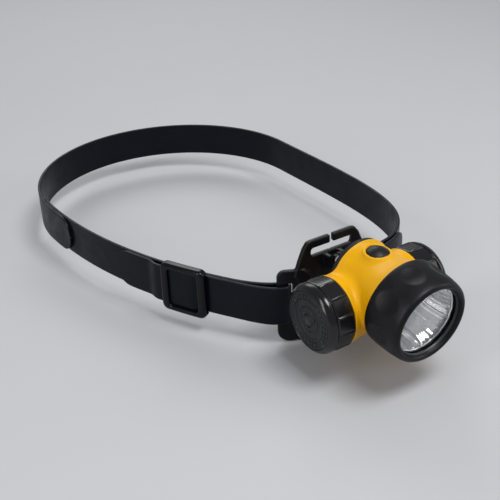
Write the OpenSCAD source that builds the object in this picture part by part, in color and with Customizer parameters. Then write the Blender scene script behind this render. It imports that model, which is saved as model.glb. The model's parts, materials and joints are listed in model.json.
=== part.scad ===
// Self-contained cap lamp on a rubber helmet strap.
// The beam points toward -Y, +Z is up, and the origin is the middle of the
// strap loop, where the helmet sits. Every dimension is in millimetres.

/* [Strap] */
// Radius of the loop round the back of the helmet
rear_r = 97; // [94:1:100]
// Radius of the loop along each side of the helmet
side_r = 313; // [309:1:317]
// Distance of the rear arc centre behind the origin
rear_y = 45; // [44:1:46]
// Height of the strap band
strap_h = 25; // [23:0.5:25]
// Thickness of the strap band
strap_t = 2; // [1.6:0.1:2]

/* [Strap slider] */
// Length of the slider along the strap
slider_l = 32; // [28:1:32]
// Height of the slider
slider_h = 33; // [32:1:36]

/* [Bracket] */
// Distance of the plate's front face ahead of the origin
plate_front = 147; // [146:0.5:148]
// Thickness of the plate
plate_t = 3; // [2.8:0.1:3]
// Height of the top tab above the strap centre line
tab_top = 38; // [37:0.5:40]
// Sweep angle of the two strap ears
ear_sweep = 28; // [26:1:30]
// Width of the slot for an over-head strap
tab_slot_w = 30; // [26:1:31]

/* [Lamp head] */
// Downward tilt of the beam at rest
lamp_tilt = 6.5; // [0:0.5:10]
// Distance of the head's reference point ahead of the origin
lamp_y = 182.5; // [181:0.5:184]
// Height of the head's reference point above the strap centre line
lamp_z = 25; // [24:0.5:26]
// Height of the tilt pin above the strap centre line
pivot_z = 29; // [28:0.5:30]
// Distance of the battery tube axis below the beam axis
tube_drop = 12.5; // [12:0.5:13]
// Largest radius of the bezel grip
bezel_r = 26; // [25.5:0.25:27]
// Radius of the clear opening in front of the lens
lens_r = 19.75; // [18.5:0.25:20]

/* [Battery caps] */
// Corner radius of the twelve-sided cap skirt
cap_r = 20.8; // [20.4:0.1:21.2]
// Number of flats and ribs round the cap skirt
cap_flats = 12; // [8:1:12]

/* [Hidden] */
$fn = 72;

yellow = [0.93, 0.68, 0.02];
black = [0.07, 0.07, 0.08];
rubber = [0.10, 0.10, 0.11];
steel = [0.72, 0.73, 0.75];
brass = [0.80, 0.66, 0.34];

pivot_y = -161;
plate_half = 24;
ear_w = 13;
slot_in = 3.9;
slot_out = 7.5;
slider_at = 25.6;
tail_off = 4.6;
tail_close = 2.25;
rear_off = 2.05;
side_end = 31;
// where the right side turns in toward its ear, drawn as if on the left
turn_at = [-79.6, -116.2];
turn_dir = [cos(52), -sin(52)];
neck_r = 22;
tube_neck = 18.2;
tube_bore = 16.2;
tube_end = 26;
body_r = 18.4;
head_s = 24.2;

// ---- helpers -------------------------------------------------------------

function bez(a, b, c, d, t) = pow(1 - t, 3) * a + 3 * t * pow(1 - t, 2) * b
  + 3 * t * t * (1 - t) * c + pow(t, 3) * d;

// Point on the left side of the loop, at an angle ahead of the rear arc's
// centre and at a distance outside the strap's own middle line.
function side(ang, off) = [side_r - rear_r - (side_r + off) * cos(ang),
  rear_y - (side_r + off) * sin(ang)];
function side_dir(ang) = [sin(ang), -cos(ang)];

// Point on the left ear, u along it and v in front of its middle plane.
function ear(u, v) = [-plate_half - u * cos(ear_sweep)
    - (v - plate_t / 2) * sin(ear_sweep),
  -plate_front + u * sin(ear_sweep) - (v - plate_t / 2) * cos(ear_sweep)];
ear_dir = [-cos(ear_sweep), sin(ear_sweep)];

// Middle line of a strap layer from the ear bar to the side arc.
function lead(v, off, n) = let (a = ear(ear_w - 1, v), d = side(side_end, off))
  [for (i = [0:n]) bez(a, a + 9 * ear_dir, d + 9 * side_dir(side_end), d,
    i / n)];
// Turn round the bar, from behind it to the front of it.
function fold(r, n) = [for (i = [0:n]) let (w = -90 - 180 * i / n)
  ear(slot_out + 0.6 + r * cos(w), r * sin(w))];
function arc_side(from, to, off, n) =
  [for (i = [0:n]) side(from + (to - from) * i / n, off)];
function arc_rear(from, to, off, n) =
  [for (i = [0:n]) let (w = from + (to - from) * i / n)
    [-(rear_r + off) * cos(w), rear_y + (rear_r + off) * sin(w)]];
// The right side of the loop stands out further, as if drawn on the left.
function far_side(n) = [for (i = [0:n]) bez([-rear_r - rear_off, rear_y],
  [-rear_r - rear_off, rear_y - 70], turn_at - 38 * turn_dir, turn_at,
  i / n)];
function far_lead(v, off, to, n) = let (a = ear(ear_w - 1, v),
    d = turn_at - off * [sin(52), cos(52)])
  [for (i = [0:n]) bez(a, a + 9 * ear_dir, d + 30 * turn_dir, d,
    to * i / n)];
// The tail lies on the layer under it, and rises over the slider's bar.
function ease(t) = let (u = min(max(t, 0), 1)) u * u * (3 - 2 * u);
function tail(ang) = tail_close + (tail_off - tail_close)
  * ease((ang - 20.4) / 1.5) * ease((27.9 - ang) / 1.6);
function flip(p) = [for (i = [len(p) - 1:-1:0]) p[i]];
function other(p) = [for (q = p) [-q[0], q[1]]];
// Drops a point that repeats the one before it.
function clean(p) = [for (i = [0:len(p) - 1])
  if (i == 0 || norm(p[i] - p[i - 1]) > 0.05) p[i]];

function normal(p, i) = let (a = p[max(i - 1, 0)],
  b = p[min(i + 1, len(p) - 1)], d = (b - a) / norm(b - a)) [-d[1], d[0]];
function edge(p, o) = [for (i = [0:len(p) - 1]) p[i] + o * normal(p, i)];

module ribbon(path) {
  p = clean(path);
  translate([0, 0, -strap_h / 2]) linear_extrude(strap_h)
    polygon(concat(edge(p, strap_t / 2), flip(edge(p, -strap_t / 2))));
}

// Cuts the end of one strap layer round. The layer ends at p, and w is the
// direction in which it runs on from there.
module round_end(p, w) {
  r = strap_h / 2 + 1;
  translate([p[0], p[1], 0]) rotate([0, 0, w]) difference() {
    translate([-6, -1.2, -r]) cube([6 + r, 2.4, 2 * r]);
    translate([r, 3, 0]) rotate([90, 0, 0]) cylinder(r = r, h = 6);
  }
}

module head_pose() {
  translate([0, -lamp_y, lamp_z]) rotate([lamp_tilt, 0, 0]) children();
}
// Turns a profile of [radius, distance forward] round the beam axis.
module beam_turn(p) {
  rotate([90, 0, 0]) rotate_extrude() polygon(p);
}
// Places a solid drawn along +Z on the beam axis, facing forward.
module on_beam(x, z, s) {
  translate([x, -s, z]) rotate([90, 0, 0]) children();
}
// Places a solid drawn along +Z on the tube axis, facing left or right.
module on_tube(side, x) {
  translate([side * x, 0, -tube_drop]) rotate([0, side * 90, 0]) children();
}

// ---- bracket --------------------------------------------------------------

module bracket_ear() {
  difference() {
    linear_extrude(plate_t) union() {
      translate([-7, -26]) square([ear_w - 2, 30]);
      translate([-7, -17]) square([ear_w + 7, 34]);
      translate([-7, 0]) square([ear_w + 2, 22]);
      translate([ear_w - 5, 17]) circle(5);
      translate([ear_w - 9, -17]) circle(9);
    }
    translate([slot_in, -13.6, -1]) cube([slot_out - slot_in, 27.2, 6]);
  }
}

module bracket_plate() {
  color(black) difference() {
    union() {
      // flat middle with the stepped top tab
      translate([0, -plate_front + plate_t, 0]) rotate([90, 0, 0])
        linear_extrude(plate_t) union() {
          translate([-plate_half, -14]) square([2 * plate_half, 36]);
          translate([-plate_half + 4, -26]) square([2 * plate_half - 8, 20]);
          for (s = [-1, 1]) translate([s * (plate_half - 8), -18]) circle(8);
          polygon([[-25, 20], [25, 20], [24.4, 26], [19.6, tab_top - 4],
            [15.6, tab_top], [-15.6, tab_top], [-19.6, tab_top - 4],
            [-24.4, 26]]);
          for (s = [-1, 1]) translate([s * 15.6, tab_top - 4]) circle(4);
        }
      // ears swept back for the strap
      for (s = [-1, 1]) mirror([s > 0 ? 1 : 0, 0, 0])
        translate([-plate_half, -plate_front, 0])
          rotate([0, 0, 180 - ear_sweep]) rotate([90, 0, 0])
            bracket_ear();
      // two lugs that carry the tilt screw
      for (s = [-1, 1]) translate([s * 4.9 - 1.4, 0, 0]) lug();
    }
    // slot for an over-head strap, with a split outer bar
    translate([-tab_slot_w / 2, -plate_front - 1, 28])
      cube([tab_slot_w, plate_t + 2, 5]);
    translate([-1.2, -plate_front - 1, 32]) cube([2.4, plate_t + 2, 10]);
    // screw bore
    translate([-20, pivot_y, pivot_z]) rotate([0, 90, 0])
      cylinder(r = 2.03, h = 40);
  }
}

module lug() {
  translate([0, pivot_y, pivot_z]) rotate([90, 0, 90])
    linear_extrude(2.8) difference() {
      union() {
        circle(4.6);
        polygon([[0, 4.6], [3, 3.5], [9, -1.6],
          [-plate_front + 1 - pivot_y, -1.6],
          [-plate_front + 1 - pivot_y, -13], [-3.6, -2.9]]);
      }
      circle(2.03);
    }
}

module bracket_pad() {
  color(rubber) translate([0, -plate_front + plate_t + 4.02, 0])
    rotate([90, 0, 0]) linear_extrude(4) union() {
      translate([-20, -12]) square([40, 24]);
      translate([-12, -20]) square([24, 40]);
      for (x = [-12, 12], z = [-12, 12]) translate([x, z]) circle(8);
    }
}

module tilt_screw() {
  color(steel) translate([0, pivot_y, pivot_z]) rotate([0, 90, 0]) {
    translate([0, 0, -6.6]) cylinder(r = 2, h = 16.8);
    difference() {
      translate([0, 0, -8.8]) cylinder(r = 3.8, h = 2.4);
      translate([0, 0, -9]) cylinder(r = 2.3, h = 1.6, $fn = 6);
    }
  }
}

module tilt_nut() {
  color(steel) translate([0, pivot_y, pivot_z]) rotate([0, 90, 0])
    translate([0, 0, 6.4]) difference() {
      cylinder(r = 4.04, h = 3.2, $fn = 6);
      translate([0, 0, -1]) cylinder(r = 2.03, h = 6);
    }
}

// ---- strap ------------------------------------------------------------------

module front_strap() {
  color(rubber) difference() {
    ribbon(concat(flip(arc_rear(0, 9, 0, 5)),
      arc_side(0, side_end, 0, 40), flip(lead(-2.9, 0, 14)),
      fold(2.9, 20), lead(2.9, tail_close, 14),
      [for (i = [0:64]) let (w = side_end - i / 4) side(w, tail(w))]));
    round_end(side(15, tail_close), 15 - 90);
  }
}

module rear_strap() {
  loose = far_lead(2.9, 2.3, 0.86, 14);
  back = loose[12] - loose[14];
  color(rubber) difference() {
    ribbon(concat(flip(arc_side(0, 5.5, rear_off, 8)),
      arc_rear(0, 180, rear_off, 90),
      other(concat(far_side(40), flip(far_lead(-2.9, 0, 1, 20)),
        fold(2.9, 20), loose))));
    round_end(side(5.5, rear_off), 5.5 + 90);
    mirror([1, 0, 0]) round_end(loose[14], atan2(back[1], back[0]));
  }
}

module slider_piece(from, to, r0, r1, z0, z1) {
  a = slider_at + (from + to) / 2 / side_r / PI * 180;
  w = (to - from) / side_r / PI * 180;
  translate([side_r - rear_r, rear_y, 0]) rotate([0, 0, 180 + a - w / 2])
    rotate_extrude(angle = w, $fn = 720) translate([side_r + r0, z0])
      square([r1 - r0, z1 - z0]);
}

module strap_slider() {
  l = slider_l / 2;
  h = slider_h / 2;
  color(black) union() {
    slider_piece(-l, -l + 5.5, 5.9, 7.7, -h, h);
    slider_piece(l - 5.5, l, 5.9, 7.7, -h, h);
    slider_piece(-2.6, 2.6, 1.35, 3.25, -h, h);
    for (z = [-h, h - 3.2]) slider_piece(-l, l, 1.35, 7.7, z, z + 3.2);
  }
}

// ---- lamp body ----------------------------------------------------------------

function waist(s) = body_r + (24.4 - body_r) * pow((s + 4) / (head_s + 4), 2.4);
function flare(x) = body_r + (20.5 - body_r) * pow(abs(x) / tube_end, 3);

module lamp_shell_outer() {
  beam_turn(concat([[0, -10], [18.9, -10], [19.5, -9.4], [19.5, -8.8],
    [18.8, -7], [18.5, -5.2]], [for (i = [0:9]) let (s = -4 + i * (head_s + 4) / 9)
    [waist(s), s]], [[neck_r, head_s], [neck_r, 39.6], [21.6, 40], [0, 40]]));
  translate([0, 0, -tube_drop]) rotate([0, 90, 0]) rotate_extrude()
    polygon(concat([[0, -36.5], [tube_neck - 0.5, -36.5], [tube_neck, -36],
      [tube_neck, -tube_end]], [for (i = [-8:8]) let (x = i * tube_end / 8)
      [flare(x), x]], [[tube_neck, tube_end], [tube_neck, 36],
      [tube_neck - 0.5, 36.5], [0, 36.5]]));
  // boss round the button
  translate([0, -2.5, 12]) cylinder(r = 7.4, h = 6.7);
}

module lamp_body() {
  color(yellow) head_pose() difference() {
    lamp_shell_outer();
    // battery bore, with a channel for the contact strip
    translate([-40, 0, -tube_drop]) rotate([0, 90, 0])
      cylinder(r = tube_bore, h = 80);
    translate([-40, -2.6, 0]) cube([80, 5.2, 4.8]);
    // reflector chamber and heat sink seat
    on_beam(0, 0, 22.6) cylinder(r = 19.5, h = 20);
    on_beam(0, 0, 17.5) cylinder(r = 9, h = 6);
    // switch pocket, open at the back
    translate([-9, -12, 6]) cube([18, 23, 8.5]);
    for (x = [-3, 3]) on_beam(x, 7.3, 10) cylinder(r = 1, h = 9);
    // strip riser between the battery bore and the switch pocket
    translate([-2.6, 2, 3]) cube([5.2, 4, 4]);
    // button well, seal groove and stem hole
    translate([0, -2.5, 16.3]) cylinder(r = 6.55, h = 6);
    translate([0, -2.5, 12]) cylinder(r = 2.9, h = 6);
    translate([0, -2.5, 15]) cylinder(r = 3.2, h = 0.7);
    // O-ring grooves
    on_beam(0, 0, 26.4) difference() {
      cylinder(r = 24, h = 1.4);
      translate([0, 0, -1]) cylinder(r = 20.8, h = 4);
    }
    for (s = [-1, 1]) on_tube(s, 27.4) difference() {
      cylinder(r = 20, h = 1.3);
      translate([0, 0, -1]) cylinder(r = 17.02, h = 4);
    }
    // screw holes for the rear mount
    for (x = [-12.4, 12.4]) on_beam(x, 8.4, -12) cylinder(r = 1.22, h = 9);
  }
}

// hinge centre in the lamp's own frame
hinge_y = (pivot_y + lamp_y) * cos(lamp_tilt)
  + (pivot_z - lamp_z) * sin(lamp_tilt);
hinge_z = -(pivot_y + lamp_y) * sin(lamp_tilt)
  + (pivot_z - lamp_z) * cos(lamp_tilt);

module rear_mount() {
  color(black) head_pose() difference() {
    union() {
      // cover over the back of the switch pocket
      intersection() {
        on_beam(0, 0, -13.02) cylinder(r = 18.6, h = 3);
        translate([-30, 0, 4.4]) cube([60, 20, 30]);
      }
      translate([-8.9, 7.5, 6.1]) cube([17.8, 3, 8.3]);
      // tongue that turns on the tilt screw
      translate([-3.2, hinge_y, hinge_z]) rotate([90, 0, 90])
        linear_extrude(6.4) union() {
          circle(4.6);
          polygon([[0, -4.6], [0, 4.6], [12 - hinge_y, 10.4 - hinge_z],
            [12 - hinge_y, 4.5 - hinge_z], [-4, -2.3]]);
        }
    }
    translate([-20, hinge_y, hinge_z]) rotate([0, 90, 0])
      cylinder(r = 2.07, h = 40);
    for (x = [-12.4, 12.4]) on_beam(x, 8.4, -14) cylinder(r = 1.45, h = 6);
  }
}

module mount_screws() {
  color(steel) head_pose() for (x = [-12.4, 12.4]) on_beam(x, 8.4, -14.9)
    union() {
      difference() {
        cylinder(r = 2.6, h = 1.8);
        translate([-0.45, -3, -0.1]) cube([0.9, 6, 0.8]);
      }
      cylinder(r = 1.2, h = 9.6);
    }
}

module ring(major, minor) {
  rotate_extrude() translate([major, 0]) circle(minor, $fn = 24);
}

module bezel_oring() {
  color([0.45, 0.1, 0.08]) head_pose() on_beam(0, 0, 27.1) ring(21.42, 0.6);
}

module cap_orings() {
  color([0.45, 0.1, 0.08]) head_pose() for (s = [-1, 1])
    on_tube(s, 28.05) ring(17.64, 0.58);
}

// ---- optics and electronics -----------------------------------------------------

function bowl(s) = sqrt(19.6 * (s - 23.2));

module reflector() {
  color([0.9, 0.9, 0.92]) head_pose() beam_turn(concat(
    [for (i = [0:12]) let (s = 24 + 17.6 * i / 12) [bowl(s), s]],
    [[21.6, 41.6], [21.6, 40.1], [bowl(40.1) + 0.95, 40.1]],
    [for (i = [0:11]) let (s = 39 - 15 * i / 11) [bowl(s) + 0.95, s]]));
}

module reflector_gasket() {
  color(rubber) head_pose() on_beam(0, 0, 22.9) difference() {
    cylinder(r = 6.4, h = 1);
    translate([0, 0, -1]) cylinder(r = 4.2, h = 4);
  }
}

module heat_sink() {
  color([0.62, 0.63, 0.66]) head_pose() on_beam(0, 0, 17.7) difference() {
    cylinder(r = 8.8, h = 3.4);
    for (x = [-3, 3]) translate([x, 7.3, -1]) cylinder(r = 0.8, h = 6);
  }
}

module led_board() {
  color([0.92, 0.93, 0.92]) head_pose() on_beam(0, 0, 21.14)
    cylinder(r = 8, h = 1.6);
}

module led_emitter() {
  color([0.95, 0.85, 0.35]) head_pose() on_beam(0, 0, 22.76) union() {
    translate([-2.5, -2.5, 0]) cube([5, 5, 1.2]);
    intersection() {
      translate([0, 0, 1]) sphere(2.3);
      translate([-3, -3, 0.6]) cube([6, 6, 4]);
    }
  }
}

module lead_wires() {
  color([0.75, 0.1, 0.08]) head_pose() for (x = [-3, 3])
    on_beam(x, 7.3, 6.5) cylinder(r = 0.55, h = 14.5);
}

module switch_board() {
  color([0.08, 0.35, 0.18]) head_pose()
    translate([-8, -9.5, 8.2]) cube([16, 16, 1.2]);
}

module switch_body() {
  color([0.15, 0.15, 0.16]) head_pose() difference() {
    translate([-3.1, -5.6, 9.42]) cube([6.2, 6.2, 3.5]);
    translate([0, -2.5, 11.1]) cylinder(r = 1.75, h = 4);
  }
}

module stem_seal() {
  color([0.45, 0.1, 0.08]) head_pose() translate([0, -2.5, 15.35])
    ring(2.86, 0.28);
}

module switch_plunger() {
  color([0.85, 0.83, 0.78]) head_pose() translate([0, -2.5, 12.6])
    cylinder(r = 1.6, h = 1.8);
}

module button() {
  color(rubber) head_pose() translate([0, -2.5, 0]) union() {
    translate([0, 0, 14.42]) cylinder(r = 2.5, h = 4);
    translate([0, 0, 17.8]) cylinder(r = 6.25, h = 1.3);
    intersection() {
      translate([0, 0, 12.2]) sphere(9.3);
      translate([0, 0, 19.1]) cylinder(r = 6.25, h = 5);
    }
  }
}

// ---- battery ------------------------------------------------------------------

cell_ring = 7.25 * 2 / sqrt(3) + 0.08;

module battery_carrier() {
  color([0.12, 0.12, 0.13]) head_pose() translate([0, 0, -tube_drop])
    rotate([0, 90, 0]) union() {
      for (s = [-1, 1]) translate([0, 0, s * 26.6 - 1]) difference() {
        cylinder(r = 15.9, h = 2);
        translate([0, 0, -1]) cylinder(r = 4, h = 4);
      }
      for (w = [60, 180, 300]) rotate([0, 0, w]) translate([12.9, 0, -26])
        cylinder(r = 2.4, h = 52);
    }
}

module battery_cells() {
  color([0.65, 0.3, 0.12]) head_pose() translate([0, 0, -tube_drop])
    rotate([0, 90, 0]) for (i = [0:2]) rotate([0, 0, 120 * i])
      translate([cell_ring, 0, 0]) rotate([0, i % 2 == 0 ? 0 : 180, 0]) union() {
        translate([0, 0, -25.2]) cylinder(r = 7.2, h = 49.2);
        translate([0, 0, 23.9]) cylinder(r = 2.7, h = 1.3);
      }
}

module contact_strip() {
  color(brass) head_pose() union() {
    translate([-36, -2.4, 3.95]) cube([72, 4.8, 0.5]);
    translate([-2.4, 3.5, 4.2]) cube([4.8, 0.5, 2.9]);
    translate([-2.4, 2, 3.95]) cube([4.8, 2, 0.5]);
  }
}

// ---- bezel --------------------------------------------------------------------

module lens() {
  color([0.8, 0.88, 0.9, 0.4]) head_pose() beam_turn([[0, 42.3], [21.6, 42.3],
    [21.6, 45], [21.3, 45.3], [0, 45.3]]);
}

module lens_gasket() {
  color(rubber) head_pose() beam_turn([[19.9, 41.95], [21.6, 41.95],
    [21.6, 42.28], [19.9, 42.28]]);
}

module bezel_ring() {
  color(black) head_pose() beam_turn([[neck_r + 0.08, 25.4], [23.6, 25.4],
    [23.6, 47], [lens_r + 0.5, 47], [lens_r, 45.6], [neck_r + 0.08, 45.6]]);
}

module bezel_grip() {
  r = bezel_r;
  color(rubber) head_pose() difference() {
    beam_turn([[23.62, 25.2], [neck_r + 0.5, 25.2], [neck_r + 0.5, 24.5],
      [r - 0.9, 24.5], [r - 0.2, 25.3], [r, 28], [r, 33], [r - 0.3, 39],
      [r - 1, 45], [r - 1.7, 47.6], [r - 2.7, 48.8], [r - 3.7, 49.2],
      [lens_r + 1.7, 48.9], [lens_r + 0.55, 47.02], [23.62, 47.02]]);
    for (i = [0:7]) rotate([0, 45 * i + 12, 0])
      translate([r + 14.6, -33.5, 0]) sphere(16);
  }
}

// ---- caps ---------------------------------------------------------------------

module cap_shape() {
  color(black) difference() {
    union() {
      linear_extrude(11.2) union() {
        rotate(15) circle(cap_r, $fn = cap_flats);
        for (i = [0:cap_flats - 1]) rotate(i * 360 / cap_flats + 15)
          translate([cap_r - 2, -0.45]) square([2.1, 0.9]);
      }
      rotate_extrude() polygon([[0, 5], [cap_r - 1.3, 5], [cap_r - 1.3, 11.9],
        [cap_r - 0.3, 11.9], [cap_r - 0.3, 12.6], [cap_r - 0.8, 14],
        [cap_r - 1.8, 15.4], [cap_r - 3, 16.5], [0, 16.5]]);
    }
    // bore that screws over the tube neck
    translate([0, 0, -1]) cylinder(r = tube_neck + 0.08, h = 14.4);
    // recess for the face disc
    translate([0, 0, 15.8]) cylinder(r = cap_r - 3.4, h = 2);
  }
}

module cap_disc_shape() {
  color([0.2, 0.21, 0.21]) translate([0, 0, 15.82]) union() {
    cylinder(r = cap_r - 3.45, h = 0.5);
    for (r = [7.6, 12.2, 16.4]) difference() {
      cylinder(r = r, h = 0.8);
      translate([0, 0, -1]) cylinder(r = r - 0.7, h = 3);
    }
    cylinder(r = 3.2, h = 0.8);
  }
}

module contact_plate_shape() {
  color(brass) difference() {
    translate([0, 0, 11.6]) cylinder(r = 14.5, h = 0.8);
    translate([0, 0, 11]) cylinder(r = 1.6, h = 3);
  }
}

// The coil's wire is a short arc in each slice, long enough that the turns
// come out as thick as they are wide.
module contact_spring_shape() {
  turns = 4;
  arc = [for (i = [-3:3]) i * 24];
  color(steel) translate([0, 0, 1.7]) linear_extrude(height = 9.8,
    twist = -360 * turns, slices = 12 * turns, $fn = 8)
      polygon(concat([for (w = arc) 5.7 * [cos(w), sin(w)]],
        [for (w = flip(arc)) 4.6 * [cos(w), sin(w)]]));
}

module cap_place(s) {
  head_pose() on_tube(s, 26.3) children();
}

module left_cap() { cap_place(-1) cap_shape(); }
module left_cap_disc() { cap_place(-1) cap_disc_shape(); }
module left_contact_plate() { cap_place(-1) contact_plate_shape(); }
module left_contact_spring() { cap_place(-1) contact_spring_shape(); }
module right_cap() { cap_place(1) cap_shape(); }
module right_cap_disc() { cap_place(1) cap_disc_shape(); }
module right_contact_plate() { cap_place(1) contact_plate_shape(); }
module right_contact_spring() { cap_place(1) contact_spring_shape(); }

// ---- nodes ---------------------------------------------------------------------

bracket_plate();
bracket_pad();
tilt_screw();
tilt_nut();
front_strap();
rear_strap();
strap_slider();
lamp_body();
rear_mount();
mount_screws();
bezel_oring();
cap_orings();
reflector();
reflector_gasket();
heat_sink();
led_board();
led_emitter();
lead_wires();
switch_board();
switch_body();
stem_seal();
battery_carrier();
battery_cells();
contact_strip();
lens();
lens_gasket();
bezel_ring();
bezel_grip();
button();
switch_plunger();
left_contact_plate();
left_contact_spring();
left_cap();
left_cap_disc();
right_contact_plate();
right_contact_spring();
right_cap();
right_cap_disc();
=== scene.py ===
import json
import math

import bmesh
import bpy
import numpy as np
from mathutils import Matrix, Vector


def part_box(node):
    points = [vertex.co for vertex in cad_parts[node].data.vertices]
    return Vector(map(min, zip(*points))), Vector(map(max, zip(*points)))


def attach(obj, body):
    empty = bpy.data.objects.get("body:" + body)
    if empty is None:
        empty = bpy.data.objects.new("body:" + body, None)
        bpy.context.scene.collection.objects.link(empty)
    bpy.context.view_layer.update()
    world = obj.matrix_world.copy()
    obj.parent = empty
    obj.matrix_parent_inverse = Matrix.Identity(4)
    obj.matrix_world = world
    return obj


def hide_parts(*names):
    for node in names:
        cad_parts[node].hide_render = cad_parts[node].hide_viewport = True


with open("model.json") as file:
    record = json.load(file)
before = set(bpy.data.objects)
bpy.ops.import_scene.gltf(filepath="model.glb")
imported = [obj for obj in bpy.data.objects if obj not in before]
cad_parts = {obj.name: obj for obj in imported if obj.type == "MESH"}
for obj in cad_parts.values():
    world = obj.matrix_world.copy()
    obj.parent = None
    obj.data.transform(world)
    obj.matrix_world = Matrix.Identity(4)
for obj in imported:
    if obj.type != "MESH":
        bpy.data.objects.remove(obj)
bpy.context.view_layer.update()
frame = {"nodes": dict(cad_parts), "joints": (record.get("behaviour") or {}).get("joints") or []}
MM = 0.001

# ---- camera ------------------------------------------------------------------

camera = bpy.data.objects.new("camera", bpy.data.cameras.new("camera"))
bpy.context.scene.collection.objects.link(camera)
camera.data.sensor_fit = "HORIZONTAL"
camera.data.sensor_width = 36.0
camera.data.lens = 65.4
camera.data.clip_start, camera.data.clip_end = 0.02, 20.0
right = Vector((0.8327, -0.5525, -0.0367)).normalized()
back = Vector((-0.4726, -0.7438, 0.4726))
back = (back - right * back.dot(right)).normalized()
up = back.cross(right)
camera.matrix_world = Matrix.Translation((-0.2912, -0.5159, 0.2806)) @ Matrix(
    (right, up, back)).transposed().to_4x4()
bpy.context.scene.camera = camera

# ---- light and floor -----------------------------------------------------------


def aim(o, place, target):
    o.location = place
    o.rotation_mode = "QUATERNION"
    o.rotation_quaternion = (Vector(target) - Vector(place)).to_track_quat("-Z", "Y")


def soft_light(name, place, target, size, watts):
    lamp = bpy.data.lights.new(name, "AREA")
    lamp.shape, lamp.size, lamp.size_y = "RECTANGLE", size[0], size[1]
    lamp.energy = watts
    o = bpy.data.objects.new(name, lamp)
    bpy.context.scene.collection.objects.link(o)
    aim(o, place, target)


soft_light("key", (0.12, -0.62, 1.1), (0, -0.1, 0), (0.55, 0.4), 10)
soft_light("left_strip", (-1.15, -0.25, 0.55), (0, -0.08, 0), (0.3, 0.9), 5)
soft_light("right_fill", (0.9, -0.7, 0.5), (0, -0.1, 0), (0.6, 0.6), 2.7)
soft_light("rear_rim", (0.35, 0.95, 0.8), (0, 0, 0), (1.0, 0.5), 5)

SKY, SKY_STRENGTH = (0.62, 0.63, 0.65, 1), 0.52
world = bpy.data.worlds.new("studio")
bpy.context.scene.world = world
world.use_nodes = True
world.node_tree.nodes["Background"].inputs["Color"].default_value = SKY
world.node_tree.nodes["Background"].inputs["Strength"].default_value = SKY_STRENGTH
bpy.context.scene.view_settings.view_transform = "Standard"

# ---- materials -------------------------------------------------------------------


class Shader:
    """A node material with a bump, a varying roughness and tints: worn edges, dust, a painted
    edge highlight.
    """

    def __init__(self, name, color, rough, metal=0.0, **sockets):
        self.mat = bpy.data.materials.new(name)
        self.mat.use_nodes = True
        self.tree = self.mat.node_tree
        self.bsdf = self.tree.nodes["Principled BSDF"]
        self.bsdf.inputs["Base Color"].default_value = (*color, 1)
        self.bsdf.inputs["Roughness"].default_value = rough
        self.bsdf.inputs["Metallic"].default_value = metal
        for key, value in sockets.items():
            self.bsdf.inputs[key.replace("_", " ")].default_value = value
        self.space = self.node("ShaderNodeTexCoord").outputs["Object"]
        self.color, self.rough = color, rough

    def node(self, kind, **values):
        n = self.tree.nodes.new(kind)
        for key, value in values.items():
            setattr(n, key, value)
        return n

    def link(self, a, b):
        self.tree.links.new(a, b)

    def noise(self, scale, detail=3.0, rough=0.55, stretch=None):
        n = self.node("ShaderNodeTexNoise")
        n.inputs["Scale"].default_value = scale
        n.inputs["Detail"].default_value = detail
        n.inputs["Roughness"].default_value = rough
        source = self.space
        if stretch:
            m = self.node("ShaderNodeMapping")
            m.inputs["Scale"].default_value = stretch
            self.link(source, m.inputs["Vector"])
            source = m.outputs["Vector"]
        self.link(source, n.inputs["Vector"])
        return n.outputs["Fac"]

    def ramp(self, source, lo, hi, to_lo, to_hi):
        n = self.node("ShaderNodeMapRange")
        limits = {"From Min": lo, "From Max": hi, "To Min": to_lo, "To Max": to_hi}
        for key, value in limits.items():
            n.inputs[key].default_value = value
        self.link(source, n.inputs["Value"])
        return n.outputs["Result"]

    def roughness(self, source, spread, lo=0.3, hi=0.7):
        low, high = max(self.rough - spread, 0.02), min(self.rough + spread, 1)
        out = self.ramp(source, lo, hi, low, high)
        self.link(out, self.bsdf.inputs["Roughness"])

    def tint(self, source, other, lo=0.35, hi=0.7):
        mix = self.node("ShaderNodeMix", data_type="RGBA")
        mix.inputs["A"].default_value = (*self.color, 1)
        mix.inputs["B"].default_value = (*other, 1)
        self.link(self.ramp(source, lo, hi, 0, 1), mix.inputs["Factor"])
        self.link(mix.outputs["Result"], self.bsdf.inputs["Base Color"])
        return mix

    def over(self, mix, source, other, lo, hi, share=1.0):
        """One more tint laid over an earlier one; share is how strong it gets."""
        top = self.node("ShaderNodeMix", data_type="RGBA")
        self.link(mix.outputs["Result"], top.inputs["A"])
        top.inputs["B"].default_value = (*other, 1)
        self.link(self.ramp(source, lo, hi, 0, share), top.inputs["Factor"])
        self.link(top.outputs["Result"], self.bsdf.inputs["Base Color"])
        return top

    def bump(self, *layers):
        """Each layer is (height source, strength, depth in metres)."""
        last = None
        for source, strength, depth in layers:
            n = self.node("ShaderNodeBump")
            n.inputs["Strength"].default_value = strength
            n.inputs["Distance"].default_value = depth
            self.link(source, n.inputs["Height"])
            if last:
                self.link(last.outputs["Normal"], n.inputs["Normal"])
            last = n
        self.link(last.outputs["Normal"], self.bsdf.inputs["Normal"])

    def edges(self):
        return self.node("ShaderNodeNewGeometry").outputs["Pointiness"]


def moulded(name, color, rough, grain=2600, worn=None, fine=0.25, **sockets):
    s = Shader(name, color, rough, **sockets)
    patches, fine_grain = s.noise(70, 4), s.noise(grain, 2)
    s.roughness(patches, 0.07)
    mix = s.tint(s.noise(35, 3), [c * 0.86 for c in color])
    if worn:
        s.over(mix, s.edges(), worn, 0.52, 0.6, 0.5)
    s.bump((s.noise(260, 3), 0.10, 0.0002), (fine_grain, fine, 0.00006))
    return s.mat


def metal(name, color, rough, stretch=(1, 1, 1), **sockets):
    s = Shader(name, color, rough, 1.0, **sockets)
    s.roughness(s.noise(900, 3, stretch=stretch), 0.1)
    s.tint(s.noise(120, 4), [c * 0.8 for c in color])
    s.bump((s.noise(2400, 2, stretch=stretch), 0.15, 0.00005))
    return s.mat


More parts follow.
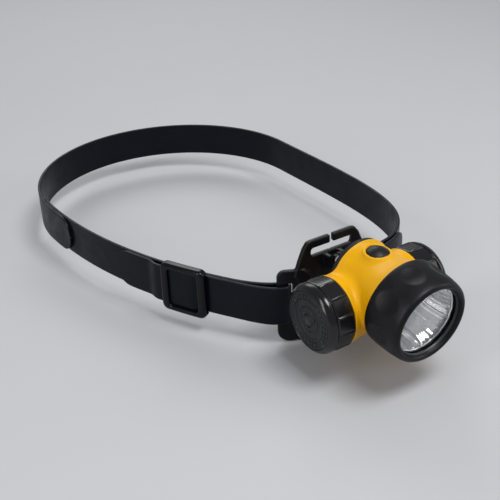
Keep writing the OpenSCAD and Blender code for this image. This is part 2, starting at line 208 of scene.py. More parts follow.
def rubber(name, color, rough, dust_and_highlight=(0.16, 0.16, 0.165), grain=1800, share=0.12, edge_highlight=0.0,
           **sockets):
    s = Shader(name, color, rough, **sockets)
    s.roughness(s.noise(90, 4), 0.1)
    mix = s.tint(s.noise(60, 4), [c * 1.5 for c in color])
    mix = s.over(mix, s.noise(420, 5, 0.7), dust_and_highlight, 0.56, 0.75, share)
    # the edge share lightens the rounded edges toward the dust colour: a painted highlight of
    # light caught on the edges, not dust
    if edge_highlight:
        s.over(mix, s.edges(), dust_and_highlight, 0.51, 0.58, edge_highlight)
    s.bump((s.noise(170, 3), 0.14, 0.0003), (s.noise(grain, 3), 0.3, 0.00008))
    return s.mat


yellow_mat = moulded("yellow_shell", (0.76, 0.385, 0.0008), 0.36, worn=(0.85, 0.52, 0.02),
                     Specular_IOR_Level=0.2)
bracket_mat = moulded("bracket_black", (0.005, 0.005, 0.006), 0.36, grain=1500, fine=0.35,
                      worn=(0.03, 0.03, 0.034), Specular_IOR_Level=0.22)
slider_mat = moulded("slider_black", (0.003, 0.003, 0.0045), 0.22, worn=(0.006, 0.006, 0.008),
                     Specular_IOR_Level=0.2)
cap_mat = moulded("cap_black", (0.005, 0.005, 0.006), 0.2, grain=2000, worn=(0.05, 0.05, 0.05),
                  Specular_IOR_Level=0.42)
face_mat = moulded("cap_face_grey", (0.0105, 0.012, 0.012), 0.48, grain=1300, fine=0.5,
                   worn=(0.07, 0.07, 0.07), Specular_IOR_Level=0.26)
edge_mat = moulded("lens_ground_edge", (0.62, 0.64, 0.65), 0.5)
mark_mat = moulded("cap_mark_grey", (0.028, 0.031, 0.031), 0.42, grain=1300,
                   Specular_IOR_Level=0.32)
# the strap's rounded edges get a painted highlight at half strength in its dust colour, besides
# its real dust speckles
strap_mat = rubber("strap_rubber", (0.0022, 0.0028, 0.0062), 0.38, dust_and_highlight=(0.04, 0.045, 0.055),
                   edge_highlight=0.5, Specular_IOR_Level=0.14)
grip_mat = rubber("grip_rubber", (0.0028, 0.0028, 0.0036), 0.42, dust_and_highlight=(0.04, 0.04, 0.046),
                  share=0.14, Specular_IOR_Level=0.22)
button_mat = rubber("button_rubber", (0.004, 0.004, 0.005), 0.42, dust_and_highlight=(0.05, 0.05, 0.055),
                    share=0.08, Specular_IOR_Level=0.28)
foam_mat = rubber("pad_foam", (0.02, 0.02, 0.022), 0.8, grain=900, share=0.15)
seal_mat = rubber("seal_silicone", (0.22, 0.035, 0.025), 0.42, dust_and_highlight=(0.4, 0.1, 0.08))
steel_mat = metal("plated_steel", (0.62, 0.62, 0.64), 0.32, (1, 6, 1))
dark_steel_mat = metal("blackened_steel", (0.05, 0.05, 0.055), 0.35, (1, 6, 1))
spring_mat = metal("spring_steel", (0.66, 0.66, 0.68), 0.22)
brass_mat = metal("contact_brass", (0.72, 0.5, 0.2), 0.3)
sink_mat = metal("sink_aluminium", (0.6, 0.61, 0.63), 0.38)
mirror_mat = metal("reflector_mirror", (0.93, 0.93, 0.94), 0.12)
white_mat = moulded("led_board_white", (0.72, 0.73, 0.72), 0.4)
emitter_mat = moulded("emitter_phosphor", (0.8, 0.12, 0.03), 0.25, Coat_Weight=0.6)
board_mat = moulded("circuit_board", (0.02, 0.13, 0.05), 0.35)
wire_mat = moulded("wire_red", (0.5, 0.02, 0.015), 0.35)
dark_mat = moulded("inner_black", (0.03, 0.03, 0.032), 0.45)
cell_mat = moulded("cell_sleeve", (0.32, 0.10, 0.03), 0.3)

glass = Shader("lens_clear", (0.97, 0.985, 0.99), 0.04, Transmission_Weight=1.0, IOR=1.45)
glass.roughness(glass.noise(500, 4), 0.03)
glass.bump((glass.noise(90, 2), 0.02, 0.0001))
lens_mat = glass.mat

# ---- shapes ----------------------------------------------------------------------

joints = {j["name"]: j for j in frame["joints"]}
beam_dir = Vector(joints["bezel_turn"]["axis"])
beam_at = Vector(joints["bezel_turn"]["pos_m"])
tube_at = Vector(joints["left_cap_turn"]["pos_m"])
tube_at.x = 0
# the head frame starts on the beam, straight above the middle of the battery tube
head_at = beam_at + beam_dir * (tube_at - beam_at).dot(beam_dir)
TILT = math.asin(-beam_dir.z)
HEAD_Y, HEAD_Z = head_at.y / MM, head_at.z / MM
TUBE_DROP = (tube_at - head_at).length / MM


def head_place(v):
    """Head frame in mm to the row frame in metres."""
    v = np.asarray(v, float)
    c, s = math.cos(TILT), math.sin(TILT)
    y, z = v[..., 1], v[..., 2]
    return np.stack([v[..., 0], y * c - z * s + HEAD_Y, y * s + z * c + HEAD_Z], -1) * MM


def row_place(v):
    return np.asarray(v, float) * MM


def piece(name, verts, faces, material, body, slot=None, replaces=(), smooth=True):
    """verts in metres, in the row frame."""
    mesh = bpy.data.meshes.new(name)
    mesh.from_pydata([tuple(v) for v in verts], [], [tuple(f) for f in faces])
    mesh.update()
    if smooth:
        mesh.shade_smooth()
    mesh.materials.append(material)
    o = bpy.data.objects.new(name, mesh)
    bpy.context.scene.collection.objects.link(o)
    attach(o, body)
    if replaces:
        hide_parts(*replaces)
    return o


def spline(points, n):
    """Smooth closed or open run through points, n steps to a span."""
    p = np.asarray(points, float)
    q = np.vstack([2 * p[0] - p[1], p, 2 * p[-1] - p[-2]])
    out = []
    for i in range(1, len(q) - 2):
        for k in range(n):
            t = k / n
            a, b, c, d = q[i - 1], q[i], q[i + 1], q[i + 2]
            out.append(0.5 * (2 * b + (c - a) * t + (2 * a - 5 * b + 4 * c - d) * t * t
                              + (3 * b - a - 3 * c + d) * t ** 3))
    out.append(p[-1])
    return np.array(out)


def rounded(points, r, steps=4):
    """Closed polygon with its corners rounded; r is one radius or one for each corner."""
    p = np.asarray(points, float)
    out = []
    for i in range(len(p)):
        a, b, c = p[i - 1], p[i], p[(i + 1) % len(p)]
        u, v = a - b, c - b
        lu, lv = np.linalg.norm(u), np.linalg.norm(v)
        u, v = u / lu, v / lv
        ri = r[i] if isinstance(r, (list, tuple)) else r
        half = math.acos(max(-1, min(1, float(u @ v)))) / 2
        if ri <= 0 or abs(half - math.pi / 2) < 0.02:
            out.append(b)
            continue
        cut = min(ri / math.tan(half), 0.48 * lu, 0.48 * lv)
        for k in range(steps + 1):
            t = k / steps
            out.append((1 - t) ** 2 * (b + u * cut) + 2 * t * (1 - t) * b + t * t * (b + v * cut))
    return np.array(out)


def lathe(name, profile, material, body, place, n=128, swell=None, **extra):
    """Turns a closed profile of (radius, distance along) round the axis.
    place takes (radius, angle, distance) arrays and gives points in mm."""
    prof = np.asarray(profile, float)
    m = len(prof)
    ang = np.arange(n) * 2 * math.pi / n
    a, k = np.meshgrid(ang, np.arange(m), indexing="ij")
    r, d = prof[k, 0], prof[k, 1]
    if swell:
        r = swell(r, a, d)
    verts = place(r, a, d).reshape(-1, 3)
    faces = []
    for i in range(n):
        j = (i + 1) % n
        for q in range(m):
            w = (q + 1) % m
            faces.append((i * m + q, i * m + w, j * m + w, j * m + q))
    o = piece(name, verts, faces, material, body, **extra)
    closed(o)
    return o


def closed(o, merge=1e-6):
    """Joins points that meet, drops what is left without a face and turns faces outward."""
    b = bmesh.new()
    b.from_mesh(o.data)
    if merge:
        bmesh.ops.remove_doubles(b, verts=b.verts, dist=merge)
    for e in [e for e in b.edges if not e.link_faces]:
        b.edges.remove(e)
    bmesh.ops.recalc_face_normals(b, faces=b.faces)
    b.to_mesh(o.data)
    b.free()
    return o


def on_beam(r, a, d):
    return head_place(np.stack([r * np.cos(a), -d, r * np.sin(a)], -1))


def on_tube(side):
    def place(r, a, d):
        return head_place(np.stack([side * d, r * np.cos(a), r * np.sin(a) - TUBE_DROP], -1))
    return place


def skin(name, f, lo, hi, cell, place, material, body, **extra):
    """Mesh of the surface f = 0, by surface nets, drawn onto the surface after.
    f takes arrays of three coordinates in mm and is negative inside."""
    lo, hi = np.asarray(lo, float), np.asarray(hi, float)
    n = np.ceil((hi - lo) / cell).astype(int) + 1
    ax = [lo[i] + cell * np.arange(n[i]) for i in range(3)]
    v = f(*np.meshgrid(*ax, indexing="ij")).astype(np.float32)
    inside = v < 0
    c = [inside[i:n[0] - 1 + i, j:n[1] - 1 + j, k:n[2] - 1 + k]
         for i in (0, 1) for j in (0, 1) for k in (0, 1)]
    count = sum(x.astype(np.int8) for x in c)
    mixed = np.argwhere((count > 0) & (count < 8))
    index = np.full([m - 1 for m in n], -1, np.int64)
    index[tuple(mixed.T)] = np.arange(len(mixed))
    total = np.zeros((len(mixed), 3))
    hits = np.zeros(len(mixed))
    for axis in range(3):
        step = np.eye(3, dtype=int)[axis]
        others = [i for i in range(3) if i != axis]
        for p in (0, 1):
            for q in (0, 1):
                base = mixed.copy()
                base[:, others[0]] += p
                base[:, others[1]] += q
                a, b = v[tuple(base.T)], v[tuple((base + step).T)]
                cross = (a < 0) != (b < 0)
                t = np.where(cross, a / np.where(cross, a - b, 1), 0)
                total[cross] += base[cross] + t[cross, None] * step
                hits += cross
    verts = lo + cell * total / hits[:, None]
    faces = []
    for axis in range(3):
        o1, o2 = [(1, 2), (2, 0), (0, 1)][axis]
        a = [slice(None)] * 3
        b = [slice(None)] * 3
        a[axis], b[axis] = slice(0, -1), slice(1, None)
        for sl in (a, b):
            for o in (o1, o2):
                sl[o] = slice(1, -1)
        va, vb = inside[tuple(a)], inside[tuple(b)]
        for flipped, hit in ((False, va & ~vb), (True, ~va & vb)):
            g = np.argwhere(hit)
            for o in (o1, o2):
                g[:, o] += 1
            e1, e2 = np.eye(3, dtype=int)[o1], np.eye(3, dtype=int)[o2]
            quad = [index[tuple(x.T)] for x in (g - e1 - e2, g - e2, g, g - e1)]
            quad = np.stack(quad[::-1] if flipped else quad, -1)
            faces.append(quad)
    faces = np.vstack(faces)
    h = cell * 0.1
    for _ in range(4):
        x, y, z = verts.T
        w = f(x, y, z)
        g = np.stack([f(x + h, y, z) - f(x - h, y, z), f(x, y + h, z) - f(x, y - h, z),
                      f(x, y, z + h) - f(x, y, z - h)], -1) / (2 * h)
        s = np.maximum((g * g).sum(-1), 0.15)
        move = -(w / s)[:, None] * g
        size = np.linalg.norm(move, axis=1, keepdims=True)
        verts = verts + move * np.minimum(1, 0.4 * cell / np.maximum(size, 1e-9))
    return closed(piece(name, place(verts), faces, material, body, **extra), 0)


def smin(a, b, k):
    h = np.clip(0.5 + 0.5 * (b - a) / k, 0, 1)
    return b * (1 - h) + a * h - k * h * (1 - h)


def smax(a, b, k):
    return -smin(-a, -b, k)


def rect(u, v, cu, cv, hu, hv, r):
    """Distance to a rectangle with rounded corners."""
    a, b = np.abs(u - cu) - hu + r, np.abs(v - cv) - hv + r
    return np.minimum(np.maximum(a, b), 0) + np.hypot(np.maximum(a, 0), np.maximum(b, 0)) - r


def slab(d, w, half, r):
    """A flat shape of distance d, thick by half on both sides of w = 0, edges rounded."""
    a, b = d + r, np.abs(w) - half + r
    return np.minimum(np.maximum(a, b), 0) + np.hypot(np.maximum(a, 0), np.maximum(b, 0)) - r


def outline(u, v, pts):
    """Distance to a polygon."""
    p = np.asarray(pts, float)
    d = np.full(u.shape, 1e9)
    sign = np.ones(u.shape)
    for i in range(len(p)):
        a, b = p[i], p[i - 1]
        e = b - a
        wu, wv = u - a[0], v - a[1]
        t = np.clip((wu * e[0] + wv * e[1]) / (e @ e), 0, 1)
        d = np.minimum(d, (wu - e[0] * t) ** 2 + (wv - e[1] * t) ** 2)
        c1, c2, c3 = v >= a[1], v < b[1], e[0] * wv > e[1] * wu
        flip = (c1 & c2 & c3) | (~c1 & ~c2 & ~c3)
        sign = np.where(flip, -sign, sign)
    return sign * np.sqrt(d)


# ---- lamp head -----------------------------------------------------------------


def body_field(x, y, z):
    s, zt = -y, z + TUBE_DROP
    # the beam tube widens to the front, flares at the back and has one fine groove
    waist = 18.4 + 6.0 * (np.clip(s + 4, 0, 40) / 28.2) ** 2.4
    waist = waist + 1.1 * (np.clip(-2.5 - s, 0, 6.3) / 6.3) ** 2
    waist = waist - 0.3 * np.exp(-((s + 8.0) / 0.45) ** 2)
    flare = 18.4 + 2.1 * (np.minimum(np.abs(x), 30) / 26) ** 3
    beam = smax(np.hypot(x, z) - waist, np.maximum(s - 24.1, -9.98 - s), 0.5)
    tube = smax(np.hypot(y, zt) - flare, np.abs(x) - 26, 0.5)
    f = smin(beam, tube, 4.5)
    # the button's boss, then its pocket and stem hole, the battery bore, the switch
    # pocket and the seat of the reflector
    rb = np.hypot(x, y + 2.5)
    f = smin(f, smax(rb - 7.3, np.maximum(z - 18.45, 10 - z), 0.5), 4.5)
    f = np.maximum(f, -np.maximum(rb - 6.6, 16.3 - z))
    f = np.maximum(f, -np.maximum(rb - 2.9, 12 - z))
    f = np.maximum(f, -(np.hypot(y, zt) - 16.2))
    f = np.maximum(f, -np.maximum(np.abs(x) - 9, np.maximum(np.abs(z - 10.2) - 4.2, -12 - y)))
    return np.maximum(f, -np.maximum(np.hypot(x, z) - 19.5, 22.6 - s))


skin("lamp_shell", body_field, (-27, -25.5, -33.5), (27, 21.5, 26), 0.52, head_place,
     yellow_mat, "head", slot="yellow_plastic", replaces=["lamp_body"])


def thread(r_top, r_root, start, end, pitch):
    """Profile points of a run of thread ridges."""
    out = []
    for i in range(int((end - start) / pitch)):
        d = start + i * pitch
        out += [(r_root, d), (r_top, d + 0.35 * pitch), (r_top, d + 0.55 * pitch),
                (r_root, d + 0.9 * pitch)]
    return out


neck = [(19.6, 23.5), (22, 23.5), (22, 26.35), (20.9, 26.45), (20.9, 27.75), (22, 27.85)]
neck += thread(22.0, 21.45, 29.2, 39.0, 2.5) + [(21.9, 39.4), (21.6, 39.9), (19.6, 39.9)]
lathe("bezel_neck", neck, yellow_mat, "head", on_beam, 128, slot="yellow_plastic")
for label, side in (("left", -1), ("right", 1)):
    p = [(16.25, 25), (18.2, 25), (18.2, 27.35), (17.1, 27.45), (17.1, 28.65), (18.2, 28.75)]
    p += thread(18.2, 17.7, 29.4, 35.6, 3.0) + [(18.1, 35.9), (17.7, 36.4), (16.25, 36.4)]
    lathe(label + "_tube_neck", p, yellow_mat, "head", on_tube(side), 128,
          slot="yellow_plastic")


def on_button(r, a, d):
    return head_place(np.stack([r * np.cos(a), r * np.sin(a) - 2.5, d], -1))


dome = [(0, 21.5)] + [(r, 12.2 + math.sqrt(9.3 ** 2 - r * r)) for r in (1, 2, 3, 4, 5)]
dome += [(5.75, 19.6), (6.15, 19.2), (6.25, 18.5), (6.25, 17.9), (6.1, 17.8), (2.5, 17.8),
         (2.5, 14.5), (0, 14.5)]
lathe("button_cap", dome, button_mat, "push_button", on_button, 96, slot="grip_rubber",
      replaces=["button"])

# bezel grip with shallow finger dents
bez = [(21.45, 48.95), (22.3, 49.2), (23.3, 48.85), (24.3, 47.7), (25.0, 45.2), (25.6, 40),
       (25.92, 34), (26, 29), (25.85, 25.9), (25.3, 24.75), (24.2, 24.5)]
grip_profile = np.vstack([spline(bez, 6), [(22.5, 24.5), (22.5, 25.2), (23.62, 25.25),
                                           (23.62, 47.0), (20.35, 47.02)],
                          spline([(20.35, 47.05), (20.7, 47.9), (21.45, 48.9)], 3)[:-1]])


def dents(r, a, d):
    turn = 2 * math.pi / 8
    near = (a - math.radians(12) + turn / 2) % turn - turn / 2
    w = (near * 26 / 6.4) ** 2 + ((d - 35.5) / 7.4) ** 2
    depth = 1.5 * np.clip(1 - w, 0, 1) ** 1.15
    return r - depth * (r > 24.6)


lathe("grip", grip_profile, grip_mat, "bezel", on_beam, 240, swell=dents, slot="grip_rubber",
      replaces=["bezel_grip"])
ring = rounded([(22.1, 25.4), (23.55, 25.4), (23.55, 46.95), (20.25, 46.95), (19.78, 45.65),
                (22.1, 45.65)], [0.2, 0.2, 0.2, 0.3, 0.12, 0.1], 3)
lathe("ring", ring, dark_mat, "bezel", on_beam, 128, slot="black_plastic",
      replaces=["bezel_ring"])
clear = rounded([(0, 42.32), (21.55, 42.32), (21.55, 45.28), (0, 45.28)],
                [0, 0.25, 0.35, 0], 3)
lathe("clear_lens", clear, lens_mat, "lens_pack", on_beam, 128, slot="clear",
      replaces=["lens"])
lathe("lens_edge", [(21.56, 42.45), (21.66, 42.45), (21.66, 45.15), (21.56, 45.15)], edge_mat,
      "lens_pack", on_beam, 128, slot="clear")
bowl = [(math.sqrt(19.6 * (s - 23.2)), s) for s in np.linspace(24, 41.55, 30)]
outer = [(math.sqrt(19.6 * (s - 23.2)) + 0.9, s) for s in np.linspace(40, 24, 16)]


def flutes(r, a, d):
    wave = np.cos(14 * a) + 0.8 * np.cos(23 * a + 1) + 0.5 * np.cos(41 * a + 2)
    return r + 0.13 * wave * np.clip((r - 4) / 10, 0, 1) * (d < 41.5) * (d > 24)


lathe("mirror", bowl + [(21.55, 41.55), (21.55, 40.1)] + outer, mirror_mat, "head", on_beam,
      360, swell=flutes, slot="mirror_metal", replaces=["reflector"])
chip = [(0, 22.78), (3.0, 22.78), (3.1, 23.5), (2.9, 23.8), (2.3, 23.95), (2.22, 24.4),
        (1.95, 25.05), (1.4, 25.62), (0.7, 25.95), (0, 26.02)]
lathe("emitter_dome", chip, emitter_mat, "head", on_beam, 64, slot="emitter",
      replaces=["led_emitter"])

# ---- caps -------------------------------------------------------------------------

CAP = [(18.32, 0.05), (20.4, 0.0), (20.6, 0.25), (20.6, 0.9), (20.6, 1.4), (20.6, 5.5),
       (20.6, 10.1), (20.6, 10.6), (20.45, 11.0), (20.0, 11.15), (19.6, 11.25), (19.6, 11.85),
       (20.1, 11.95), (20.5, 12.15)]
CAP += [tuple(p) for p in spline([(20.5, 12.15), (20.42, 13.0), (19.9, 14.4), (18.9, 15.6),
                                  (17.7, 16.4), (17.42, 16.45)], 4)[1:]]
CAP += [(17.4, 15.85), (0, 15.85), (0, 13.5), (18.32, 13.4)]


def flats(r, a, d):
    """Twelve slight flats with a thin rib between them, on the skirt only."""
    turn = math.pi / 6
    near = (a + turn / 2) % turn - turn / 2
    flat = 0.55 * 20.1 / np.cos((a % turn) - turn / 2) + 0.45 * 20.5
    rib = 0.42 * np.clip(1 - (near * 20.6 / 0.6) ** 4, 0, 1)
    rib = rib * np.clip((d - 0.9) / 0.5, 0, 1) * np.clip((10.6 - d) / 0.5, 0, 1)
    skirt = (d < 11.05) & (r > 19.9)
    return np.where(skirt, flat + rib - (20.6 - r), r)


CAP_AT = -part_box("left_cap")[1][0] / MM
for label, side in (("left", -1), ("right", 1)):
    place = on_tube(side)

    def at(r, a, d, place=place):
        return place(r, a, d + CAP_AT)

    lathe(label + "_cap_shell", CAP, cap_mat, label + "_cap", at, 576, swell=flats,
          slot="cap_plastic", replaces=[label + "_cap"])
    disc = [(0, 16.75), (2.9, 16.75), (3.2, 16.6), (3.3, 16.32), (6.8, 16.32), (6.95, 16.6),
            (7.45, 16.6), (7.6, 16.32), (11.4, 16.32), (11.55, 16.62), (12.05, 16.62),
            (12.2, 16.32), (15.7, 16.32), (15.85, 16.6), (16.3, 16.6), (16.5, 16.32),
            (17.3, 16.3), (17.34, 16.1), (17.34, 15.88), (0, 15.88)]
    o = lathe(label + "_face", disc, face_mat, label + "_cap", at, 144, slot="cap_face",
              replaces=[label + "_cap_disc"])
    # plain raised marks round the face, and a plain emblem of three bars
    v, fc = [], []

    def block(centre, half, turn):
        base = len(v)
        c, s = math.cos(turn), math.sin(turn)
        for dz in (16.25, 16.66):
            k = 1.0 if dz < 16.3 else 0.8
            for sx, sy in ((-1, -1), (1, -1), (1, 1), (-1, 1)):
                x, y = sx * half[0] * k + centre[0], sy * half[1] * k + centre[1]
                px, py = x * c - y * s, x * s + y * c
                v.append(at(np.hypot(px, py), math.atan2(py, px), dz))
        fc.extend([[base + i for i in q] for q in
                   ((3, 2, 1, 0), (4, 5, 6, 7), (0, 1, 5, 4), (1, 2, 6, 5), (2, 3, 7, 6),
                    (3, 0, 4, 7))])

    for i in range(30):
        if i % 10 not in (8, 9):
            block((14.0, 0), (1.05, 0.34 + 0.16 * (i % 3)), i * math.pi / 15)
    for i in range(3):
        block((4.9, 0), (0.5, 1.5), i * 2 * math.pi / 3 + 0.5)
    closed(piece(label + "_marks", v, fc, mark_mat, label + "_cap", slot="cap_face",
                 smooth=False))

# ---- bracket ---------------------------------------------------------------------------

SWEEP = math.radians(28)


def bracket_field(x, y, z):
    ax = np.abs(x)
    w = y + 145.5
    plate = smin(rect(ax, z, 0, 4, 24, 18, 1), rect(ax, z, 0, -14, 20 + 4, 12, 8), 1)
    tab = outline(ax, z, [(0, 18), (26, 18), (24.8, 23), (23.6, 26.5), (20.2, 34),
                          (17.5, 37.4), (15.6, 38), (0, 38)])
    d = smin(plate, tab, 2.0)
    slot = rect(ax, z, 0, 30.5, 15, 2.5, 1.6)
    split = rect(ax, z, 0, 37, 1.2, 5, 0.1)
    d = smax(d, -smin(slot, split, 0.8), 0.9)
    flat = slab(d, w, 1.5, 0.65)
    dx, dy = ax - (24 - 1.5 * math.sin(SWEEP)), y + 147 - 1.5 * math.cos(SWEEP)
    u = dx * math.cos(SWEEP) + dy * math.sin(SWEEP)
    t = dx * math.sin(SWEEP) - dy * math.cos(SWEEP)
    e = smin(rect(u, z, -1, -2, 5, 24, 5), rect(u, z, 3, 2.5, 10, 19.5, 5), 1.0)
    e = smin(e, rect(u, z, 5, -17, 8, 9, 7), 1.0)
    e = smax(e, -rect(u, z, 5.7, 0, 1.8, 13.6, 1.2), 0.5)
    e = np.maximum(e, -7 - u)
    ear = slab(e, t, 1.5, 0.65)
    f = smin(flat, ear, 1.2)
    a, b = y + 161, z - 29
    lug = np.minimum(np.hypot(a, b) - 4.6, outline(a, b, [
        (0, 4.6), (3, 3.5), (9, -1.6), (15, -1.6), (15, -13), (-3.6, -2.9)]))
    lug = np.maximum(lug, 2.04 - np.hypot(a, b))
    f = smin(f, slab(lug, ax - 4.9, 1.4, 0.4), 0.6)
    return f


skin("bracket", bracket_field, (-41, -167, -28), (41, -136, 40), 0.55, row_place,
     bracket_mat, "mount", slot="black_plastic", replaces=["bracket_plate"])
pad_lo, pad_hi = (np.array(v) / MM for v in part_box("bracket_pad"))
pad_mid, pad_half = (pad_lo + pad_hi) / 2, (pad_hi - pad_lo) / 2


def pad_field(x, y, z):
    """A foam pad with round corners that thins a little toward its border."""
    d = rect(x, z, pad_mid[0], pad_mid[2], pad_half[0], pad_half[2], 8)
    thin = 0.5 * np.clip(1 + d / 7, 0, 1) ** 2
    return slab(d, y - pad_mid[1], pad_half[1] - thin, 1.2)


pad = skin("helmet_pad", pad_field, pad_lo - 1, pad_hi + 1, 0.5, row_place,
           foam_mat, "mount", slot="foam", replaces=["bracket_pad"])

# ---- strap ------------------------------------------------------------------------------


# the left side of the loop is an arc round the slider's own centre of travel
ARC_X, ARC_Y = (v / MM for v in joints["slider_travel"]["pos_m"][:2])
ARC_R = 313
REAR_R = ARC_R - ARC_X
SIDE_END = 31
REAR_OFF = 2.05
TAIL_END = 15
SLIDER_AT = 25.6
HALF_BAND = 12.5
EAR_RUN = 12


def side_point(ang, off):
    a = np.radians(ang)
    return np.stack([ARC_X - (ARC_R + off) * np.cos(a), ARC_Y - (ARC_R + off) * np.sin(a)], -1)


def ear_point(u, v):
    c, s = math.cos(SWEEP), math.sin(SWEEP)
    return np.array([-24 - u * c - (v - 1.5) * s, -147 + u * s - (v - 1.5) * c])


def bezier(a, b, c, d, n):
    t = np.linspace(0, 1, n)[:, None]
    return ((1 - t) ** 3 * a + 3 * t * (1 - t) ** 2 * b + 3 * t * t * (1 - t) * c + t ** 3 * d)


def lead(v, off, n=26):
    a, d = ear_point(EAR_RUN, v), side_point(SIDE_END, off)
    e = np.array([-math.cos(SWEEP), math.sin(SWEEP)])
    g = np.array([math.sin(math.radians(SIDE_END)), -math.cos(math.radians(SIDE_END))])
    return bezier(a, a + 9 * e, d + 9 * g, d, n)


TURN = np.array([-79.6, -116.2])
TURN_ANG = math.radians(52)
TURN_DIR = np.array([math.cos(TURN_ANG), -math.sin(TURN_ANG)])


def far_lead(v, off, to, n=40):
    """The right side is drawn as if on the left and mirrored after."""
    a, e = ear_point(EAR_RUN, v), np.array([-math.cos(SWEEP), math.sin(SWEEP)])
    d = TURN - off * np.array([math.sin(TURN_ANG), math.cos(TURN_ANG)])
    t = to * np.linspace(0, 1, n)[:, None]
    return ((1 - t) ** 3 * a + 3 * t * (1 - t) ** 2 * (a + 9 * e)
            + 3 * t * t * (1 - t) * (d + 30 * TURN_DIR) + t ** 3 * d)


def ease(t):
    u = np.clip(t, 0, 1)
    return u * u * (3 - 2 * u)


def tail(ang):
    """The free end lies on the strap and rises over the slider's bar."""
    return side_point(ang, 2.25 + 2.35 * ease((ang - 20.4) / 1.5) * ease((27.9 - ang) / 1.6))


def fold(r, n=26):
    w = np.radians(np.linspace(-90, -270, n))
    return np.array([ear_point(8.1 + r * math.cos(t), r * math.sin(t)) for t in w])


def rear(a0, a1, off, n):
    w = np.radians(np.linspace(a0, a1, n))
    return np.stack([-(REAR_R + off) * np.cos(w), ARC_Y + (REAR_R + off) * np.sin(w)], -1)


def arc(a0, a1, off, n):
    return side_point(np.linspace(a0, a1, n), off)


def ribbon(name, path, material, body, ends=(0, 0), droop=None, **extra):
    """A band with rounded edges along path, its ends cut round where ends is a radius."""
    p = np.array([q for i, q in enumerate(path)
                  if i == 0 or np.linalg.norm(q - path[i - 1]) > 0.05])
    run = np.concatenate([[0], np.cumsum(np.linalg.norm(np.diff(p, axis=0), axis=1))])
    total = run[-1]
    marks = list(np.arange(0, total, 1.6)) + [total]
    for k, r in enumerate(ends):
        if r:
            near = [r * (1 - math.cos(t)) for t in np.linspace(0.06, math.pi / 2, 14)]
            marks = [m for m in marks if (m if k == 0 else total - m) > r]
            marks += [n if k == 0 else total - n for n in near]
    marks = np.array(sorted(marks))
    xy = np.stack([np.interp(marks, run, p[:, i]) for i in (0, 1)], -1)
    tan = np.gradient(xy, axis=0)
    tan /= np.linalg.norm(tan, axis=1, keepdims=True)
    for _ in range(2):
        tan[1:-1] = (tan[:-2] + 2 * tan[1:-1] + tan[2:]) / 4
        tan /= np.linalg.norm(tan, axis=1, keepdims=True)
    nor = np.stack([-tan[:, 1], tan[:, 0]], -1)
    section = rounded([(-1, -HALF_BAND), (1, -HALF_BAND), (1, HALF_BAND), (-1, HALF_BAND)],
                      0.55, 3)
    extra_rows = np.linspace(-11, 11, 9)
    section = np.vstack([section[:8], [(1, z) for z in extra_rows], section[8:],
                         [(-1, z) for z in -extra_rows]])
    m = len(section)
    verts = []
    for i, d in enumerate(marks):
        high = HALF_BAND
        for k, r in enumerate(ends):
            e = d if k == 0 else total - d
            if r and e < r:
                high = min(high, HALF_BAND * math.sqrt(max(1e-4, 1 - (1 - e / r) ** 2)))
        pos = xy[i] + nor[i] * section[:, :1]
        verts.append(np.column_stack([pos, section[:, 1] * high / HALF_BAND]))
    verts = np.vstack(verts) * MM
    faces = [(i * m + q, i * m + (q + 1) % m, (i + 1) * m + (q + 1) % m, (i + 1) * m + q)
             for i in range(len(marks) - 1) for q in range(m)]
    faces += [tuple(range(m))[::-1], tuple((len(marks) - 1) * m + q for q in range(m))]
    o = piece(name, verts, faces, material, body, **extra)
    closed(o)
    return o


def mirror_x(p):
    return p * np.array([-1, 1])


FOLD_R = 2.9
front = np.vstack([rear(9, 0, 0, 10), arc(0, SIDE_END, 0, 100), lead(-FOLD_R, 0)[::-1],
                   fold(FOLD_R), lead(FOLD_R, 2.25),
                   tail(np.linspace(SIDE_END, TAIL_END, 90))])
ribbon("front_band", front, strap_mat, "mount", ends=(0, HALF_BAND), slot="strap_rubber",
       replaces=["front_strap"])
far_x = -(REAR_R + REAR_OFF)
far = bezier(np.array([far_x, ARC_Y]), np.array([far_x, ARC_Y - 70]), TURN - 38 * TURN_DIR,
             TURN, 90)
right_run = np.vstack([far, far_lead(-FOLD_R, 0, 1)[::-1], fold(FOLD_R),
                       far_lead(FOLD_R, 2.3, 0.86)])
back_run = np.vstack([arc(5.5, 0, REAR_OFF, 20), rear(0, 180, REAR_OFF, 200),
                      mirror_x(right_run)])
ribbon("rear_band", back_run, strap_mat, "mount", ends=(HALF_BAND, HALF_BAND),
       slot="strap_rubber", replaces=["rear_strap"])

# ---- slider -----------------------------------------------------------------------------


def slider_field(u, o, z):
    f = slab(rect(u, z, 0, 0, 15.8, 16.4, 4.4), o - 4.525, 3.175, 2.0)
    f = smax(f, -slab(rect(u, z, 0, 0, 10.4, 12.9, 2.6), o - 4.6, 9, 0), 1.6)
    for s in (-1, 1):
        f = np.maximum(f, -slab(rect(u, o, s * 14, 3.0, 6, 2.9, 0.6), z, 13.3, 0.6))
    bar = slab(rect(u, o, 0, 2.3, 2.6, 0.95, 0.7), z, 14.5, 0.3)
    return smin(f, bar, 0.5)


def slider_place(v):
    ang = SLIDER_AT + np.degrees(v[..., 0] / ARC_R)
    p = side_point(ang, v[..., 1])
    return np.stack([p[..., 0], p[..., 1], v[..., 2]], -1) * MM


skin("slider_frame", slider_field, (-17.5, -0.2, -18), (17.5, 9.2, 18), 0.36, slider_place,
     slider_mat, "slider", slot="black_plastic", replaces=["strap_slider"])

# ---- the remaining parts keep their own shape -----------------------------------------------

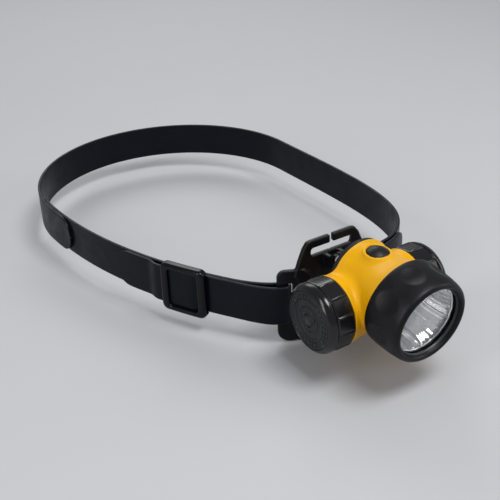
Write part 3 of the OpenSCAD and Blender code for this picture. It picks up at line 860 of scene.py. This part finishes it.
looks = {
    dark_steel_mat: ["tilt_screw", "tilt_nut"],
    steel_mat: ["mount_screws"],
    bracket_mat: ["rear_mount"],
    seal_mat: ["bezel_oring", "cap_orings", "stem_seal"],
    grip_mat: ["reflector_gasket", "lens_gasket"],
    sink_mat: ["heat_sink"],
    white_mat: ["led_board"],
    wire_mat: ["lead_wires"],
    board_mat: ["switch_board"],
    dark_mat: ["switch_body", "switch_plunger", "battery_carrier"],
    cell_mat: ["battery_cells"],
    brass_mat: ["contact_strip", "left_contact_plate", "right_contact_plate"],
    spring_mat: ["left_contact_spring", "right_contact_spring"],
}
for mat, names in looks.items():
    for n in names:
        o = frame["nodes"][n]
        o.data.materials.clear()
        o.data.materials.append(mat)
        o.data.shade_smooth()
        b = o.modifiers.new("soft_edge", "BEVEL")
        b.width, b.segments = 0.18 * MM, 2
        b.limit_method, b.angle_limit = "ANGLE", math.radians(35)
        o.modifiers.new("face_normals", "WEIGHTED_NORMAL").keep_sharp = True

# ---- floor --------------------------------------------------------------------------------

floor_mesh = bpy.data.meshes.new("floor")
R = 30
floor_mesh.from_pydata([(-R, -R, 0), (R, -R, 0), (R, R, 0), (-R, R, 0)], [], [(0, 1, 2, 3)])
floor = bpy.data.objects.new("floor", floor_mesh)
floor.location = (0, 0, -0.0265)
bpy.context.scene.collection.objects.link(floor)
pale = Shader("floor_pale", (0.47, 0.475, 0.49), 0.7)
pale.roughness(pale.noise(20, 2), 0.05)
# far from the object the floor takes the colour of the sky, so no horizon shows
away = pale.node("ShaderNodeVectorMath", operation="LENGTH")
pale.link(pale.space, away.inputs[0])
glow = pale.node("ShaderNodeEmission")
glow.inputs["Color"].default_value, glow.inputs["Strength"].default_value = SKY, SKY_STRENGTH
blend = pale.node("ShaderNodeMixShader")
pale.link(pale.ramp(away.outputs["Value"], 0.9, 2.0, 0, 1), blend.inputs[0])
pale.link(pale.bsdf.outputs[0], blend.inputs[1])
pale.link(glow.outputs[0], blend.inputs[2])
pale.link(blend.outputs[0], pale.tree.nodes["Material Output"].inputs["Surface"])
floor_mesh.materials.append(pale.mat)
